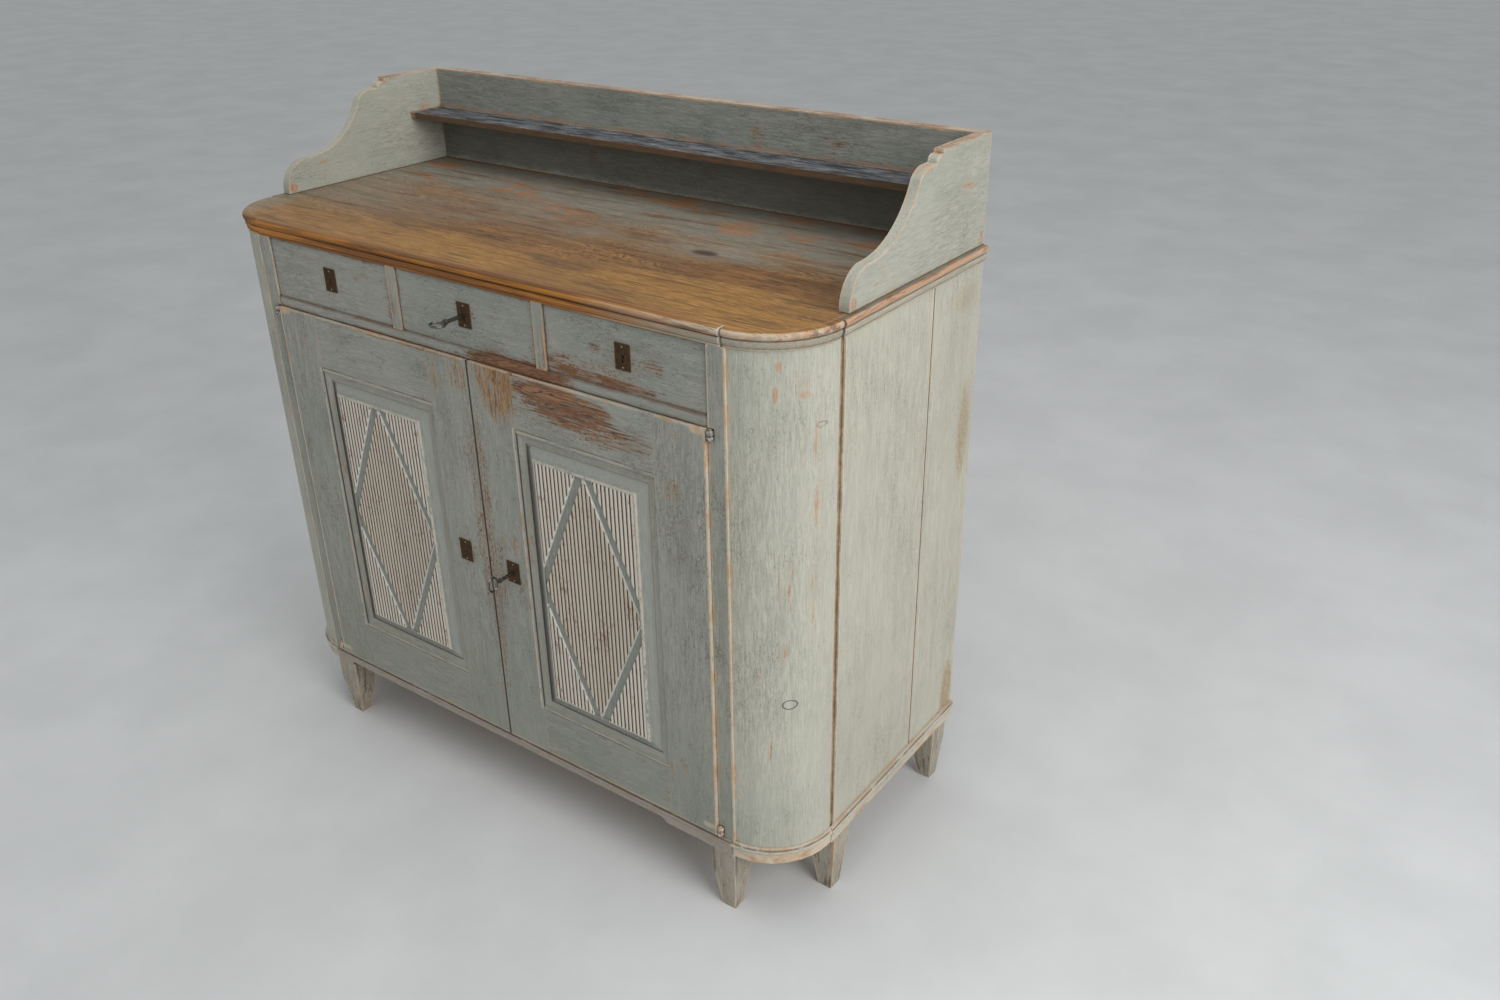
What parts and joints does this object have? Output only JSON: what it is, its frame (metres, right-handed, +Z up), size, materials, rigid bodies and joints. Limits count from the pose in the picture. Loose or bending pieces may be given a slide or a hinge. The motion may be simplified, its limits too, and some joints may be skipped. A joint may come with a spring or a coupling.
{
  "type": "sideboard",
  "caption": "Painted pine sideboard with drawers above a pair of reeded panel doors, rounded front corners, moulded counter and a low scrolled gallery with a shelf.",
  "frame": {"origin": "on the floor, under the centre of the box round the whole sideboard, keys included", "axes": "+X to the right seen from the front, +Y to the back, +Z up"},
  "size_m": [1.193, 0.585, 1.167],
  "materials": {
    "painted_front": "aged grey-green distemper paint, worn at the edges, matt",
    "painted_side": "aged pale grey-green paint, matt",
    "reeded_panel": "cream and grey-green paint, rubbed on the reeds",
    "worn_counter": "bare honey-brown pine with the remains of paint, satin",
    "bare_pine": "bare aged pine, matt",
    "black_iron": "dark rusted wrought iron",
    "steel_key": "worn dull steel"
  },
  "bodies": {
    "carcass": {"right_quarter_column": "painted_front", "left_quarter_column": "painted_front", "right_side_boards": "painted_side", "left_side_boards": "painted_side", "right_front_stile": "painted_front", "left_front_stile": "painted_front", "drawer_rail": "painted_front", "drawer_deck": "bare_pine", "drawer_dividers": "painted_front", "drawer_guides": "bare_pine", "cupboard_floor": "bare_pine", "foot_bearers": "bare_pine", "cupboard_shelf": "bare_pine", "shelf_bearers": "bare_pine", "back_boards": "bare_pine", "door_stop": "bare_pine", "plinth_front_moulding": "painted_front", "plinth_corner_mouldings": "painted_front", "plinth_side_mouldings": "painted_front", "feet": "painted_front", "counter_boards": "worn_counter", "counter_front_moulding": "worn_counter", "counter_corner_mouldings": "worn_counter", "counter_side_mouldings": "worn_counter", "right_gallery_side": "painted_side", "left_gallery_side": "painted_side", "gallery_back_board": "painted_side", "gallery_shelf": "painted_side", "hinge_pintles": "black_iron"},
    "left_drawer": {"left_drawer_front": "painted_front", "left_drawer_box": "bare_pine", "left_drawer_bottom": "bare_pine", "left_drawer_lock": "black_iron"},
    "left_drawer_bolt": {"left_drawer_bolt": "black_iron"},
    "centre_drawer": {"centre_drawer_front": "painted_front", "centre_drawer_box": "bare_pine", "centre_drawer_bottom": "bare_pine", "centre_drawer_lock": "black_iron"},
    "centre_drawer_bolt": {"centre_drawer_bolt": "black_iron"},
    "right_drawer": {"right_drawer_front": "painted_front", "right_drawer_box": "bare_pine", "right_drawer_bottom": "bare_pine", "right_drawer_lock": "black_iron"},
    "right_drawer_bolt": {"right_drawer_bolt": "black_iron"},
    "drawer_key": {"drawer_key": "steel_key"},
    "right_door": {"right_door_stiles": "painted_front", "right_door_rails": "painted_front", "right_door_panel": "reeded_panel", "right_door_hinge_eyes": "black_iron", "right_door_lock": "black_iron"},
    "right_door_bolt": {"right_door_bolt": "black_iron"},
    "door_key": {"door_key": "steel_key"},
    "left_door": {"left_door_stiles": "painted_front", "left_door_rails": "painted_front", "left_door_panel": "reeded_panel", "left_door_hinge_eyes": "black_iron", "left_door_plate": "black_iron", "left_door_bolt_staples": "black_iron"},
    "left_door_slide_bolt": {"left_door_slide_bolt": "black_iron"}
  },
  "joints": [
    {"name": "left_drawer_slide", "type": "slide", "parent": "carcass", "child": "left_drawer", "axis": [0, -1, 0], "range_m": [0, 0.3]},
    {"name": "left_drawer_bolt_throw", "type": "slide", "parent": "left_drawer", "child": "left_drawer_bolt", "axis": [0, 0, 1], "range_m": [0, 0.009]},
    {"name": "centre_drawer_slide", "type": "slide", "parent": "carcass", "child": "centre_drawer", "axis": [0, -1, 0], "range_m": [0, 0.3]},
    {"name": "centre_drawer_bolt_throw", "type": "slide", "parent": "centre_drawer", "child": "centre_drawer_bolt", "axis": [0, 0, 1], "range_m": [0, 0.009]},
    {"name": "right_drawer_slide", "type": "slide", "parent": "carcass", "child": "right_drawer", "axis": [0, -1, 0], "range_m": [0, 0.3]},
    {"name": "right_drawer_bolt_throw", "type": "slide", "parent": "right_drawer", "child": "right_drawer_bolt", "axis": [0, 0, 1], "range_m": [0, 0.009]},
    {"name": "drawer_key_turn", "type": "hinge", "parent": "centre_drawer", "child": "drawer_key", "pos_m": [0, -0.2505, 0.9235], "axis": [0, 1, 0], "range_deg": [0, 90]},
    {"name": "right_door_swing", "type": "hinge", "parent": "carcass", "child": "right_door", "pos_m": [0.46, -0.2335, 0.5], "axis": [0, 0, 1], "range_deg": [0, 170]},
    {"name": "left_door_swing", "type": "hinge", "parent": "carcass", "child": "left_door", "pos_m": [-0.46, -0.2335, 0.5], "axis": [0, 0, -1], "range_deg": [0, 170]},
    {"name": "door_key_turn", "type": "hinge", "parent": "right_door", "child": "door_key", "pos_m": [0.054, -0.2505, 0.5015], "axis": [0, 1, 0], "range_deg": [0, 90]},
    {"name": "door_bolt_throw", "type": "slide", "parent": "right_door", "child": "right_door_bolt", "axis": [-1, 0, 0], "range_m": [0, 0.009]},
    {"name": "slide_bolt_lift", "type": "slide", "parent": "left_door", "child": "left_door_slide_bolt", "axis": [0, 0, 1], "range_m": [0, 0.012]}
  ],
  "couplings": [
    {"joint": "drawer_key_turn", "follows": "centre_drawer_bolt_throw", "rad_per_m": 174.53},
    {"joint": "door_key_turn", "follows": "door_bolt_throw", "rad_per_m": 174.53}
  ]
}
